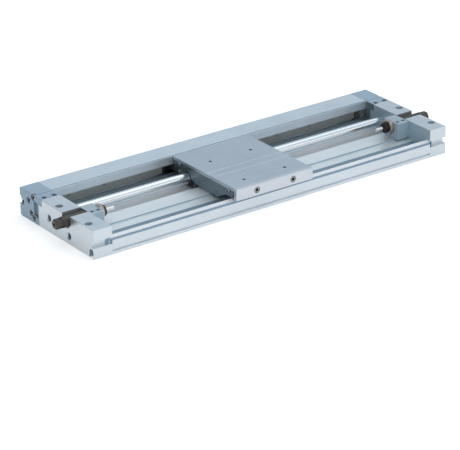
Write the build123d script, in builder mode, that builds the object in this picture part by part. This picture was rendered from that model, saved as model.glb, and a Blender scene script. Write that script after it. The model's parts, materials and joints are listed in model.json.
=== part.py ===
from build123d import *
import math
import os

# A guided rodless cylinder with a magnetically coupled table, in millimetres.
# X runs along the stroke, +Y from the open front to the rear guide housing, +Z up.
# The origin is the centre of the underside. Depths are measured back from the front face.

# Overall sizes
unit_length = 608.0
unit_height = 42.0
block_length = 29.4
block_depth = 147.5
housing_depth = 38.5
edge_break = 0.5

# Base extrusion section
base_floor = 5.0
front_wall = 6.5
front_wall_height = 26.0
channel_rear = 38.0
shelf_height = 14.0
bed_lead = 11.3
bed_to_tube = 25.8
bed_height = 16.0
bed_round = 1.2
bed_slope = 2.3
sill_height = 16.0
sill_thickness = 3.5
rear_wall = 14.0
rear_corner = 3.0
chamber_wall = 3.5
chamber_round = 1.5
switch_slot_width = 3.6
switch_slot_height = 22.6
switch_slot_lip = 1.2
switch_slot_bore = 2.2
heel_groove_height = 4.2
heel_groove_top = 7.2
heel_groove_depth = 2.0
rear_groove_depth = 3.5
rear_groove_low = 18.5
rear_groove_high = 30.0
foot_relief = 0.8
foot_width = 14.0
centre_foot = 20.0

# Top cover of the guide housing
cover_plate = 3.5
lip_drop = 12.0
lip_thickness = 3.5
cover_line_inset = 2.0
cover_line_width = 1.2
cover_line_depth = 1.0
cover_bevel = 1.0
key_width = 4.0
key_height = 2.2
key_inset = 7.0
key_clearance = 0.1

# Cylinder tube
tube_outer = 16.6
tube_inner = 15.0
tube_setback = 36.0
tube_height = 21.0
tube_seat = 10.0
seat_clearance = 0.03
gasket_section = 2.0
gasket_offset = 3.0
gasket_clearance = 0.05

# End blocks
step_setback = 10.0
tongue_setback = 18.5
tongue_height = 32.0
groove_low = 15.8
groove_high = 25.4
groove_depth = 6.3
switch_pocket_length = 8.0
switch_pocket_depth = 9.0
toe_slot_front = 2.2
toe_slot_width = 9.8
toe_slot_height = 13.0
mount_hole = 6.6
mount_bore = 11.0
mount_bore_depth = 6.5
mount_inset = 8.0
mount_front = 24.0
mount_rear_lead = 14.5
port_drill = 8.8
port_mouth = 11.6
port_depth = 12.0
port_passage = 5.0
low_port_depth = 62.0
low_port_height = 12.0

# End covers
recess_inset = 1.5
recess_width = 11.0
recess_low = 10.0
recess_high = 33.0
recess_depth = 4.0
recess_round = 2.0
inner_gap_inset = 3.0
inner_gap_width = 2.2
inner_gap_depth = 4.0
cover_screw_shank = 4.0
cover_screw_head = 8.0
cover_screw_head_height = 4.0
cover_screw_bore = 9.4
cover_screw_bore_depth = 5.0
tongue_screw_head = 7.0
tongue_screw_shank = 4.0
tongue_screw_bore_depth = 4.4
tongue_screw_length = 18.0
tongue_screw_sink = 0.4
tongue_screw_insets = (7.0, 23.0)
tongue_screw_setback = 4.5
tongue_screw_gap = 0.5
lip_screw_setback = 4.0
lip_screw_drop = 4.4
sill_screw_setback = 2.0
sill_screw_rise = 3.0
upper_stop_screw_setback = 5.0
upper_stop_screw_rise = 9.5
lower_stop_screw_lead = 1.0
lower_stop_screw_drop = 7.5
wall_screw_inset = 7.0
wall_screw_drop = 2.0
short_screw_cap = 3.0
stop_screw_reach = 6.0
wall_screw_reach = 12.0

# Shock absorbers and their brackets
absorber_depth = 67.3
absorber_height = 32.3
absorber_thread = 16.0
absorber_overhang = 19.0
absorber_hex_length = 9.5
absorber_hex = 13.0
absorber_nose = 5.0
absorber_rod = 5.0
absorber_rod_reach = 15.5
absorber_stroke = 12.0
absorber_guide = 16.0
rod_end_space = 2.0
absorber_chamfer = 0.8
absorber_key = 4.0
notch_width = 19.7
bracket_length = 20.0
bracket_depth = 31.5
bracket_lead = 17.8
bracket_top = 41.3
locknut_flats = 20.0
locknut_bevel_angle = 30.0
locknut_length = 6.5
thread_clearance = 0.02
bracket_screw_head = 5.5
bracket_screw_shank = 3.0
bracket_screw_offset = 2.7
bracket_screw_pitch = 10.0
bracket_screw_thread = 5.0
bracket_screw_sink = 0.4
bracket_screw_gap = 0.25

# Guide rail and carriages
rail_height = 18.0
rail_thickness = 7.5
rail_centre = 20.5
rail_waist = 1.2
rail_waist_low = 2.2
rail_waist_middle = 3.7
rail_waist_high = 5.2
rail_end_gap = 1.0
rail_screw_pitch = 60.0
rail_screw_margin = 15.0
rail_screw_head = 5.5
rail_screw_shank = 3.0
rail_screw_thread = 6.0
rail_screw_bore = 3.5
rail_screw_sink = 0.5
rail_screw_gap = 0.25
stop_length = 8.0
stop_clearance = 0.5
stop_edge_gap = 1.0
carriage_length = 40.0
carriage_height = 30.0
carriage_setback = 7.0
carriage_inset = 16.6
carriage_seal_length = 3.0
carriage_running_gap = 0.4
carriage_wall_gap = 1.5
carriage_seal_margin = 0.5

# Table
table_x = -9.8
table_length = 131.2
table_front = -1.0
table_rear_gap = 2.0
table_top = 43.0
table_edge_thickness = 4.5
table_slab_thickness = 12.0
table_bridge_thickness = 7.5
foot_depth = 20.0
foot_gap = 1.3
striker_width = 24.0
striker_height = 14.0
slab_rear_setback = 2.5
housing_side_gap = 1.5
table_line_depths = (48.8, 65.5)
table_line_width = 0.8
table_line_cut = 0.4
table_corner_notch = 4.0
table_hole_pitch_x = 70.0
table_hole_front = 18.0
table_hole_rear = 98.0
table_hole = 5.0
table_hole_depth = 7.0
side_plate_thickness = 6.0
side_plate_height = 17.0
side_screw_pitch = 62.0
side_screw_height = 34.5
side_screw_bore = 9.5
side_screw_head = 8.5
side_screw_shank = 5.0
side_screw_thread = 10.0
side_screw_bore_depth = 4.6
side_screw_sink = 0.3

# Slider end plates
end_plate_thickness = 3.0
end_plate_inset = 0.8
end_plate_front = 2.0
end_plate_low = 17.0
end_plate_rise = 20.0
end_plate_cheek_lead = 8.5
end_plate_cheek_height = 22.0
end_plate_arm_setback = 8.0
end_plate_arm_height = 29.5
end_plate_tube_gap = 1.0
plate_screw_head = 5.5
plate_screw_head_height = 2.4
plate_screw_shank = 3.0
plate_screw_thread = 8.0
plate_screw_drop = 2.9
plate_screw_lead = 7.4
plate_screw_setback = 4.0
plate_screw_rise = 6.3

# Magnet housing and coupling magnets
magnet_housing_width = 30.0
magnet_housing_low = 7.0
housing_round = 3.0
housing_wall = 2.6
ring_clearance = 0.05
magnet_count = 6
ring_stack_gap = 2.3
yoke_length = 5.0
magnet_air_gap = 0.6
wear_ring_length = 12.0
running_clearance = 0.08

# Piston
piston_head_length = 12.0
piston_shaft = 5.0
inner_magnet_gap = 0.9
inner_yoke_gap = 0.6
piston_seal_width = 3.0
piston_seal_depth = 1.6
piston_seal_offset = 3.0

# Carriage arm and small magnet
arm_leg = 9.2
arm_housing_gap = 1.3
arm_low = 18.5
arm_thickness = 9.0
arm_screw_head = 7.0
arm_screw_head_height = 4.0
arm_screw_shank = 4.0
arm_screw_thread = 6.0
arm_screw_gap = 0.25
arm_screw_sites = (20.0, 40.0)
arm_crook_round = 2.0
carriage_screw_thread = 4.0
carriage_screw_offsets = (-18.0, 0.5)
switch_magnet_length = 12.0
switch_magnet_width = 5.0
switch_magnet_thickness = 3.0

# Shares of a socket head screw's head
socket_share = 0.5
socket_depth_share = 0.6
head_bevel_share = 0.06

# Derived places
half_length = unit_length / 2
inner_x = half_length - block_length
unit_width = block_depth + housing_depth
front_y = -unit_width / 2
extrusion_length = 2 * inner_x
cover_low = unit_height - cover_plate
lip_low = unit_height - lip_drop
lip_rear = block_depth + lip_thickness
sill_rear = block_depth + sill_thickness
wall_front = unit_width - rear_wall
rail_face = wall_front - rail_thickness
carriage_face_depth = sill_rear + carriage_setback
tube_depth = block_depth - tube_setback
bed_front = absorber_depth - bed_lead
bed_rear = tube_depth - bed_to_tube
trough_front = bed_rear + bed_slope
step_depth = block_depth - step_setback
tongue_depth = block_depth - tongue_setback
recess_front = step_depth + recess_inset
mount_rear = tube_depth - mount_rear_lead
bracket_front = absorber_depth - bracket_lead
table_half = table_length / 2
carriage_spacing = table_length - 2 * carriage_inset
table_rear = block_depth - table_rear_gap
slab_low = table_top - table_slab_thickness
bridge_low = table_top - table_bridge_thickness
table_edge_low = table_top - table_edge_thickness
plate_outer_x = table_half - end_plate_inset
slab_half = plate_outer_x - end_plate_thickness
foot_low = front_wall_height + foot_gap
housing_front = tube_depth - magnet_housing_width / 2
housing_rear = tube_depth + magnet_housing_width / 2
outer_ring = magnet_housing_width / 2 - housing_wall
stack_length = 2 * (slab_half - wear_ring_length - ring_stack_gap)
magnet_length = (stack_length - (magnet_count + 1) * yoke_length) / magnet_count
slab_rear = table_rear - slab_rear_setback
arm_front = housing_rear + arm_housing_gap
arm_rear = arm_front + arm_leg
arm_high = arm_low + arm_thickness
carriage_screw_height = (arm_low + arm_high) / 2
# Depth and height of the end plate screws: two in the table plate, one in the carriage arm
plate_screw_places = (
    (foot_depth - plate_screw_lead, table_edge_low - plate_screw_drop),
    (housing_rear + plate_screw_setback, table_edge_low - plate_screw_drop),
    (housing_rear + plate_screw_setback, arm_low + plate_screw_rise),
)
slab_screw_places = plate_screw_places[:2]
arm_screw_row = (arm_front + arm_rear) / 2
groove_middle = (rear_groove_low + rear_groove_high) / 2
# Depth, height and how far each end cover screw reaches past the cover
cover_screw_places = (
    (block_depth + lip_screw_setback, unit_height - lip_screw_drop, -short_screw_cap),
    (carriage_face_depth + upper_stop_screw_setback, rail_centre + upper_stop_screw_rise, stop_screw_reach),
    (carriage_face_depth - lower_stop_screw_lead, rail_centre - lower_stop_screw_drop, stop_screw_reach),
    (block_depth + sill_screw_setback, base_floor + sill_screw_rise, -short_screw_cap),
    (wall_front + wall_screw_inset, groove_middle - wall_screw_drop, wall_screw_reach),
)
wall_screw_depth, wall_screw_height = cover_screw_places[-1][:2]


def fy(depth):
    return front_y + depth


def at(depth, height):
    return (fy(depth), height)


def mirrored(piece):
    with BuildPart() as copy:
        mirror(piece, about=Plane.YZ)
    return copy.part


# Separate solids kept together as one piece of the list
def grouped(solids):
    with BuildPart() as group:
        add(solids)
    return group.part


def keep(piece, label):
    piece.label = label
    export_step(piece, f"parts/{label}.step")


def keep_both(piece, label):
    keep(piece, f"left_{label}")
    keep(mirrored(piece), f"right_{label}")


# A socket head screw whose head sits at the given plane and whose shank follows its normal
def cap_screw(plane, head, head_height, shank, length):
    socket = head * socket_share
    with BuildPart() as screw:
        with BuildSketch(plane):
            Circle(head / 2)
        extrude(amount=head_height)
        rims = screw.edges().filter_by(GeomType.CIRCLE).sort_by(Axis(plane.origin, plane.z_dir))
        chamfer(rims[0], head * head_bevel_share)
        with BuildSketch(plane.offset(head_height)):
            Circle(shank / 2)
        extrude(amount=length)
        with BuildSketch(plane):
            RegularPolygon(socket / 2, 6, major_radius=False)
        extrude(amount=head_height * socket_depth_share, mode=Mode.SUBTRACT)
    return screw.part


# Ring around the cylinder tube's axis
def tube_ring(x_low, length, inner, outer):
    with BuildPart() as ring:
        with BuildSketch(Plane.YZ.offset(x_low)):
            with Locations(at(tube_depth, tube_height)):
                Circle(outer)
                if inner > 0:
                    Circle(inner, mode=Mode.SUBTRACT)
        extrude(amount=length)
    return ring.part


os.makedirs("parts", exist_ok=True)

# Base extrusion: front wall with switch slot, channel, bed, tube trough and guide housing
with BuildPart() as base_extrusion:
    with BuildSketch(Plane.YZ):
        with BuildLine():
            Polyline(
                at(0, 0),
                at(0, front_wall_height),
                at(front_wall, front_wall_height),
                at(front_wall, base_floor),
                at(channel_rear, base_floor),
                at(channel_rear, shelf_height),
                at(bed_front, shelf_height),
                at(bed_front, bed_height),
                at(bed_rear, bed_height),
                at(trough_front, base_floor),
                at(block_depth, base_floor),
                at(block_depth, sill_height),
                at(sill_rear, sill_height),
                at(sill_rear, base_floor),
                at(wall_front, base_floor),
                at(wall_front, cover_low),
                at(unit_width, cover_low),
                at(unit_width, 0),
                close=True,
            )
        make_face()
    extrude(amount=extrusion_length / 2, both=True)
    long_edges = base_extrusion.edges().filter_by(Axis.X)
    crest = long_edges.filter_by_position(Axis.Z, bed_height - 0.1, bed_height + 0.1)
    fillet(crest.filter_by_position(Axis.Y, fy(bed_rear) - 0.1, fy(bed_rear) + 0.1), bed_round)
    heel = base_extrusion.edges().filter_by(Axis.X).group_by(Axis.Z)[0]
    chamfer(heel.sort_by(Axis.Y)[-1], rear_corner)
    # Closed chambers under the shelf and the bed
    with BuildSketch(Plane.YZ):
        for near, far, roof in ((channel_rear, bed_front, shelf_height), (bed_front, bed_rear, bed_height)):
            chamber_width = far - near - chamber_wall
            chamber_height = roof - 2 * chamber_wall
            with Locations(at((near + far) / 2, roof / 2)):
                RectangleRounded(chamber_width, chamber_height, chamber_round)
    extrude(amount=extrusion_length / 2, both=True, mode=Mode.SUBTRACT)
    # Switch slot, slanted heel groove, rear groove and the relief between the feet
    with BuildSketch(Plane.YZ):
        bore_centre = switch_slot_lip + switch_slot_bore
        with Locations(at(bore_centre / 2, switch_slot_height)):
            Rectangle(bore_centre, switch_slot_width)
        with Locations(at(bore_centre, switch_slot_height)):
            Circle(switch_slot_bore)
        with BuildLine():
            Polyline(
                at(0, heel_groove_height),
                at(heel_groove_depth, heel_groove_height),
                at(0, heel_groove_top),
                close=True,
            )
        make_face()
        with Locations(at(unit_width - rear_groove_depth / 2, groove_middle)):
            Rectangle(rear_groove_depth, rear_groove_high - rear_groove_low)
        relief_width = (unit_width - centre_foot) / 2 - foot_width
        relief_middle = (centre_foot + relief_width) / 2
        with Locations((-relief_middle, 0), (relief_middle, 0)):
            Rectangle(relief_width, 2 * foot_relief)
        with Locations(at(unit_width - key_inset, cover_low)):
            Rectangle(key_width + 2 * key_clearance, 2 * (key_height + key_clearance))
    extrude(amount=extrusion_length / 2, both=True, mode=Mode.SUBTRACT)
    # Threads for the rail, the brackets and the end cover screws
    rail_half = inner_x - stop_length - rail_end_gap
    rail_steps = int((rail_half - rail_screw_margin) / rail_screw_pitch)
    rail_x = [rail_screw_pitch * step for step in range(-rail_steps, rail_steps + 1)]
    with BuildSketch(Plane.XZ.offset(-fy(wall_front))):
        with Locations([(x, rail_centre) for x in rail_x]):
            Circle(rail_screw_shank / 2)
    extrude(amount=-rail_screw_thread, mode=Mode.SUBTRACT)
    for end, inward in ((Plane.YZ.offset(-inner_x), 1), (Plane.YZ.offset(inner_x), -1)):
        with BuildSketch(end):
            with Locations(at(wall_screw_depth, wall_screw_height)):
                Circle(cover_screw_shank / 2 + thread_clearance)
        extrude(amount=inward * wall_screw_reach, mode=Mode.SUBTRACT)
    bracket_screw_x = inner_x - bracket_length / 2
    bracket_screw_places = [
        (side * bracket_screw_x + shift, fy(absorber_depth - absorber_thread / 2 - bracket_screw_offset))
        for side in (-1, 1)
        for shift in (-bracket_screw_pitch / 2, bracket_screw_pitch / 2)
    ]
    with BuildSketch(Plane.XY.offset(bed_height)):
        with Locations(bracket_screw_places):
            Circle(bracket_screw_shank / 2)
    extrude(amount=-bracket_screw_thread, mode=Mode.SUBTRACT)
keep(base_extrusion.part, "base_extrusion")

# Top cover with its front lip, keyed into the rear wall
with BuildPart() as top_cover:
    with BuildSketch(Plane.YZ):
        with BuildLine():
            Polyline(
                at(block_depth, lip_low),
                at(block_depth, unit_height),
                at(unit_width - cover_bevel, unit_height),
                at(unit_width, unit_height - cover_bevel),
                at(unit_width, cover_low),
                at(lip_rear, cover_low),
                at(lip_rear, lip_low),
                close=True,
            )
        make_face()
        with Locations(at(unit_width - key_inset, cover_low - key_height / 2)):
            Rectangle(key_width, key_height)
        with Locations(at(block_depth + cover_line_inset, unit_height)):
            Rectangle(cover_line_width, 2 * cover_line_depth, mode=Mode.SUBTRACT)
    extrude(amount=extrusion_length / 2, both=True)
keep(top_cover.part, "top_cover")

# Cylinder tube
tube_x = inner_x + tube_seat
cylinder_tube = tube_ring(-tube_x, 2 * tube_x, tube_inner / 2, tube_outer / 2)
keep(cylinder_tube, "cylinder_tube")

# End block, drawn at the left end
left_face = Plane.YZ.offset(-half_length)
left_inner = Plane.YZ.offset(-inner_x)
with BuildPart() as end_block:
    with BuildSketch(left_face):
        with BuildLine():
            Polyline(
                at(0, 0),
                at(step_depth, 0),
                at(step_depth, tongue_height),
                at(tongue_depth, tongue_height),
                at(tongue_depth, unit_height),
                at(0, unit_height),
                close=True,
            )
        make_face()
    extrude(amount=block_length)
    chamfer(end_block.edges().group_by(Axis.X)[0], edge_break)
    with BuildSketch(left_face):
        with Locations(at(groove_depth / 2, (groove_low + groove_high) / 2)):
            Rectangle(groove_depth, groove_high - groove_low)
        with Locations(at(toe_slot_front + toe_slot_width / 2, 0)):
            SlotCenterToCenter(2 * toe_slot_height - toe_slot_width, toe_slot_width, rotation=90)
        with Locations(at(absorber_depth, absorber_height)):
            Circle(notch_width / 2)
        with Locations(at(absorber_depth, (absorber_height + unit_height) / 2)):
            Rectangle(notch_width, unit_height - absorber_height)
    extrude(amount=block_length, mode=Mode.SUBTRACT)
    with BuildSketch(left_inner):
        with Locations(at(switch_pocket_depth / 2, (groove_low + groove_high) / 2)):
            Rectangle(switch_pocket_depth, groove_high - groove_low)
    extrude(amount=-switch_pocket_length, mode=Mode.SUBTRACT)
    # Tube seat, gasket groove, passage and ports
    with BuildSketch(left_inner):
        with Locations(at(tube_depth, tube_height)):
            Circle(tube_outer / 2 + seat_clearance)
    extrude(amount=-tube_seat, mode=Mode.SUBTRACT)
    with BuildSketch(Plane.YZ.offset(-inner_x - gasket_offset)):
        with Locations(at(tube_depth, tube_height)):
            Circle(tube_outer / 2 + gasket_section + 2 * gasket_clearance)
    extrude(amount=-gasket_section - 2 * gasket_clearance, mode=Mode.SUBTRACT)
    with BuildSketch(left_inner):
        with Locations(at(tube_depth, tube_height)):
            Circle(port_passage / 2)
    extrude(amount=-block_length, mode=Mode.SUBTRACT)
    port_flare = (port_mouth - port_drill) / 2
    for depth, height in ((tube_depth, tube_height), (low_port_depth, low_port_height)):
        with BuildSketch(left_face):
            with Locations(at(depth, height)):
                Circle(port_drill / 2)
        extrude(amount=port_depth, mode=Mode.SUBTRACT)
        with BuildSketch(left_face):
            with Locations(at(depth, height)):
                Circle(port_mouth / 2)
        extrude(amount=port_flare, taper=45, mode=Mode.SUBTRACT)
    # Counterbored mounting holes and the threads under the cover's tongue
    mount_x = half_length - mount_inset
    with Locations((-mount_x, fy(mount_front), unit_height), (-mount_x, fy(mount_rear), unit_height)):
        CounterBoreHole(mount_hole / 2, mount_bore / 2, mount_bore_depth, depth=unit_height)
    tongue_screw_depth = tongue_depth + tongue_screw_setback
    tongue_screw_reach = tongue_screw_bore_depth + tongue_screw_length
    tongue_y = fy(tongue_screw_depth)
    tongue_places = [(inset - half_length, tongue_y, unit_height) for inset in tongue_screw_insets]
    with Locations(tongue_places):
        Hole(tongue_screw_shank / 2 + thread_clearance, depth=tongue_screw_reach)
keep_both(end_block.part, "end_block")

# End cover of the guide housing: a tongue on top holds it to the end block
with BuildPart() as end_cover:
    with BuildSketch(left_face):
        with BuildLine():
            Polyline(
                at(step_depth, 0),
                at(unit_width - rear_corner, 0),
                at(unit_width, rear_corner),
                at(unit_width, unit_height - cover_bevel),
                at(unit_width - cover_bevel, unit_height),
                at(tongue_depth, unit_height),
                at(tongue_depth, tongue_height),
                at(step_depth, tongue_height),
                close=True,
            )
        make_face()
    extrude(amount=block_length)
    chamfer(end_cover.edges().group_by(Axis.X)[0], edge_break)
    with BuildSketch(left_face):
        with Locations(at(unit_width - rear_groove_depth / 2, groove_middle)):
            Rectangle(rear_groove_depth, rear_groove_high - rear_groove_low)
        with Locations(at(block_depth, unit_height)):
            Rectangle(cover_line_width, 2 * cover_line_depth)
    extrude(amount=block_length, mode=Mode.SUBTRACT)
    with BuildSketch(left_face):
        with Locations(at(recess_front + recess_width / 2, (recess_low + recess_high) / 2)):
            RectangleRounded(recess_width, recess_high - recess_low, recess_round)
    extrude(amount=recess_depth, mode=Mode.SUBTRACT)
    with BuildSketch(left_inner):
        inner_gap_middle = step_depth + inner_gap_inset + inner_gap_width / 2
        with Locations(at(inner_gap_middle, (sill_height + cover_low) / 2)):
            Rectangle(inner_gap_width, cover_low - sill_height)
    extrude(amount=-inner_gap_depth, mode=Mode.SUBTRACT)
    for depth, height, reach in cover_screw_places:
        with BuildSketch(left_face):
            with Locations(at(depth, height)):
                Circle(cover_screw_bore / 2)
        extrude(amount=cover_screw_bore_depth, mode=Mode.SUBTRACT)
        with BuildSketch(left_face):
            with Locations(at(depth, height)):
                Circle(cover_screw_shank / 2 + thread_clearance)
        extrude(amount=block_length + min(reach, 0), mode=Mode.SUBTRACT)
    with Locations(tongue_places):
        CounterBoreHole(
            tongue_screw_shank / 2 + thread_clearance,
            tongue_screw_head / 2 + tongue_screw_gap,
            tongue_screw_bore_depth,
            depth=unit_height - tongue_height,
        )
keep_both(end_cover.part, "end_cover")

# Screws of the end cover
head_plane_x = -half_length + cover_screw_bore_depth - cover_screw_head_height
cover_screws = []
for depth, height, reach in cover_screw_places:
    plane = Plane(origin=(head_plane_x, fy(depth), height), z_dir=(1, 0, 0))
    length = block_length - cover_screw_bore_depth + reach
    cover_screws.append(
        cap_screw(plane, cover_screw_head, cover_screw_head_height, cover_screw_shank, length)
    )
keep_both(grouped(cover_screws), "cover_screws")

tongue_screws = []
for x, y, z in tongue_places:
    plane = Plane(origin=(x, y, z - tongue_screw_sink), z_dir=(0, 0, -1))
    head_height = tongue_screw_bore_depth - tongue_screw_sink
    tongue_screws.append(
        cap_screw(plane, tongue_screw_head, head_height, tongue_screw_shank, tongue_screw_length)
    )
keep_both(grouped(tongue_screws), "tongue_screws")

# Absorber bracket on the inner face of the end block
with BuildPart() as absorber_bracket:
    with BuildSketch(left_inner):
        with Locations(at(bracket_front + bracket_depth / 2, (bed_height + bracket_top) / 2)):
            Rectangle(bracket_depth, bracket_top - bed_height)
    extrude(amount=bracket_length)
    chamfer(absorber_bracket.edges().filter_by(Axis.X).group_by(Axis.Z)[-1], edge_break)
    with BuildSketch(left_inner):
        with Locations(at(absorber_depth, absorber_height)):
            Circle(absorber_thread / 2 + thread_clearance)
    extrude(amount=bracket_length, mode=Mode.SUBTRACT)
    with Locations([(x, y, bracket_top) for x, y in bracket_screw_places if x < 0]):
        CounterBoreHole(
            bracket_screw_shank / 2 + thread_clearance,
            bracket_screw_head / 2 + bracket_screw_gap,
            bracket_screw_shank,
            depth=bracket_top - bed_height,
        )
keep_both(absorber_bracket.part, "absorber_bracket")

bracket_screws = []
for x, y in bracket_screw_places:
    plane = Plane(origin=(x, y, bracket_top - bracket_screw_sink), z_dir=(0, 0, -1))
    head_height = bracket_screw_shank - bracket_screw_sink
    length = bracket_top - bracket_screw_shank - bed_height + bracket_screw_thread
    if x < 0:
        bracket_screws.append(cap_screw(plane, bracket_screw_head, head_height, bracket_screw_shank, length))
keep_both(grouped(bracket_screws), "bracket_screws")

# Shock absorber: hexagon outside, threaded body through the notch and bracket, rod inside
body_start_x = -half_length - absorber_overhang
nut_x = -inner_x + bracket_length
body_end_x = nut_x + locknut_length + absorber_nose
with BuildPart() as absorber_body:
    with BuildSketch(Plane.YZ.offset(body_start_x)):
        with Locations(at(absorber_depth, absorber_height)):
            RegularPolygon(absorber_hex / 2, 6, major_radius=False)
    extrude(amount=absorber_hex_length)
    with BuildSketch(Plane.YZ.offset(body_start_x + absorber_hex_length)):
        with Locations(at(absorber_depth, absorber_height)):
            Circle(absorber_thread / 2)
    extrude(amount=body_end_x - body_start_x - absorber_hex_length)
    chamfer(absorber_body.edges().group_by(Axis.X)[-1], absorber_chamfer)
    chamfer(absorber_body.edges().group_by(Axis.X)[0], absorber_chamfer)
    rod_hole_length = absorber_guide + absorber_stroke + rod_end_space
    with BuildSketch(Plane.YZ.offset(body_end_x)):
        with Locations(at(absorber_depth, absorber_height)):
            Circle(absorber_rod / 2 + running_clearance)
    extrude(amount=-rod_hole_length, mode=Mode.SUBTRACT)
    with BuildSketch(Plane.YZ.offset(body_start_x)):
        with Locations(at(absorber_depth, absorber_height)):
            RegularPolygon(absorber_key / 2, 6, major_radius=False)
    extrude(amount=absorber_key, mode=Mode.SUBTRACT)
keep_both(absorber_body.part, "absorber_body")

with BuildPart() as absorber_rod_piece:
    with BuildSketch(Plane.YZ.offset(body_end_x - absorber_guide)):
        with Locations(at(absorber_depth, absorber_height)):
            Circle(absorber_rod / 2)
    extrude(amount=absorber_guide + absorber_rod_reach)
    chamfer(absorber_rod_piece.edges().group_by(Axis.X)[-1], edge_break)
keep_both(absorber_rod_piece.part, "absorber_rod")

# Locknut, with the corners of both faces turned off
with BuildPart() as locknut:
    with BuildSketch(Plane.YZ.offset(nut_x)):
        with Locations(at(absorber_depth, absorber_height)):
            RegularPolygon(locknut_flats / 2, 6, major_radius=False)
            Circle(absorber_thread / 2 + thread_clearance, mode=Mode.SUBTRACT)
    extrude(amount=locknut_length)
    corner_radius = locknut_flats / 2 / math.cos(math.radians(locknut_bevel_angle))
    corner_drop = (corner_radius - locknut_flats / 2) * math.tan(math.radians(locknut_bevel_angle))
    nut_axis = Plane(origin=(nut_x, fy(absorber_depth), absorber_height), x_dir=(0, 1, 0), z_dir=(0, 0, 1))
    with BuildSketch(nut_axis):
        with BuildLine():
            Polyline(
                (0, 0),
                (locknut_flats / 2, 0),
                (corner_radius, -corner_drop),
                (corner_radius, corner_drop - locknut_length),
                (locknut_flats / 2, -locknut_length),
                (0, -locknut_length),
                close=True,
            )
        make_face()
    turned_axis = Axis((nut_x, fy(absorber_depth), absorber_height), (1, 0, 0))
    revolve(axis=turned_axis, mode=Mode.INTERSECT)
keep_both(locknut.part, "absorber_locknut")

# Rubber stop for the carriages, held by two of the cover screws
stop_low = base_floor + stop_edge_gap
stop_high = cover_low - stop_edge_gap
stop_front = sill_rear + stop_clearance
stop_rear = wall_front - stop_clearance
with BuildPart() as rail_stop:
    with BuildSketch(left_inner):
        with Locations(at((stop_front + stop_rear) / 2, (stop_low + stop_high) / 2)):
            RectangleRounded(stop_rear - stop_front, stop_high - stop_low, recess_round)
        for depth, height, reach in cover_screw_places:
            if 0 < reach < stop_length:
                with Locations(at(depth, height)):
                    Circle(cover_screw_shank / 2 + thread_clearance, mode=Mode.SUBTRACT)
    extrude(amount=stop_length)
keep_both(rail_stop.part, "rail_stop")

# Gasket of the tube in the end block
gasket_x = -inner_x - gasket_offset - gasket_section - gasket_clearance
gasket_inner = tube_outer / 2 + gasket_clearance
tube_gasket = tube_ring(gasket_x, gasket_section, gasket_inner, gasket_inner + gasket_section)
keep_both(tube_gasket, "tube_gasket")

# Guide rail on the rear wall, with waisted sides and counterbored screws
with BuildPart() as guide_rail:
    half_rail = rail_height / 2
    with BuildSketch(Plane.YZ):
        with BuildLine():
            Polyline(
                at(wall_front, rail_centre - half_rail),
                at(wall_front, rail_centre + half_rail),
                at(wall_front - rail_waist_low, rail_centre + half_rail),
                at(wall_front - rail_waist_middle, rail_centre + half_rail - rail_waist),
                at(wall_front - rail_waist_high, rail_centre + half_rail),
                at(rail_face, rail_centre + half_rail),
                at(rail_face, rail_centre - half_rail),
                at(wall_front - rail_waist_high, rail_centre - half_rail),
                at(wall_front - rail_waist_middle, rail_centre - half_rail + rail_waist),
                at(wall_front - rail_waist_low, rail_centre - half_rail),
                close=True,
            )
        make_face()
    extrude(amount=rail_half, both=True)
    with BuildSketch(Plane.XZ.offset(-fy(rail_face))):
        with Locations([(x, rail_centre) for x in rail_x]):
            Circle(rail_screw_head / 2 + rail_screw_gap)
    extrude(amount=-rail_screw_bore, mode=Mode.SUBTRACT)
    with BuildSketch(Plane.XZ.offset(-fy(rail_face))):
        with Locations([(x, rail_centre) for x in rail_x]):
            Circle(rail_screw_shank / 2 + thread_clearance)
    extrude(amount=-rail_thickness, mode=Mode.SUBTRACT)
keep(guide_rail.part, "guide_rail")

rail_screws = []
for x in rail_x:
    plane = Plane(origin=(x, fy(rail_face) + rail_screw_sink, rail_centre), z_dir=(0, 1, 0))
    head_height = rail_screw_bore - rail_screw_sink
    length = rail_thickness - rail_screw_bore + rail_screw_thread
    rail_screws.append(cap_screw(plane, rail_screw_head, head_height, rail_screw_shank, length))
keep(grouped(rail_screws), "rail_screws")

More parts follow.
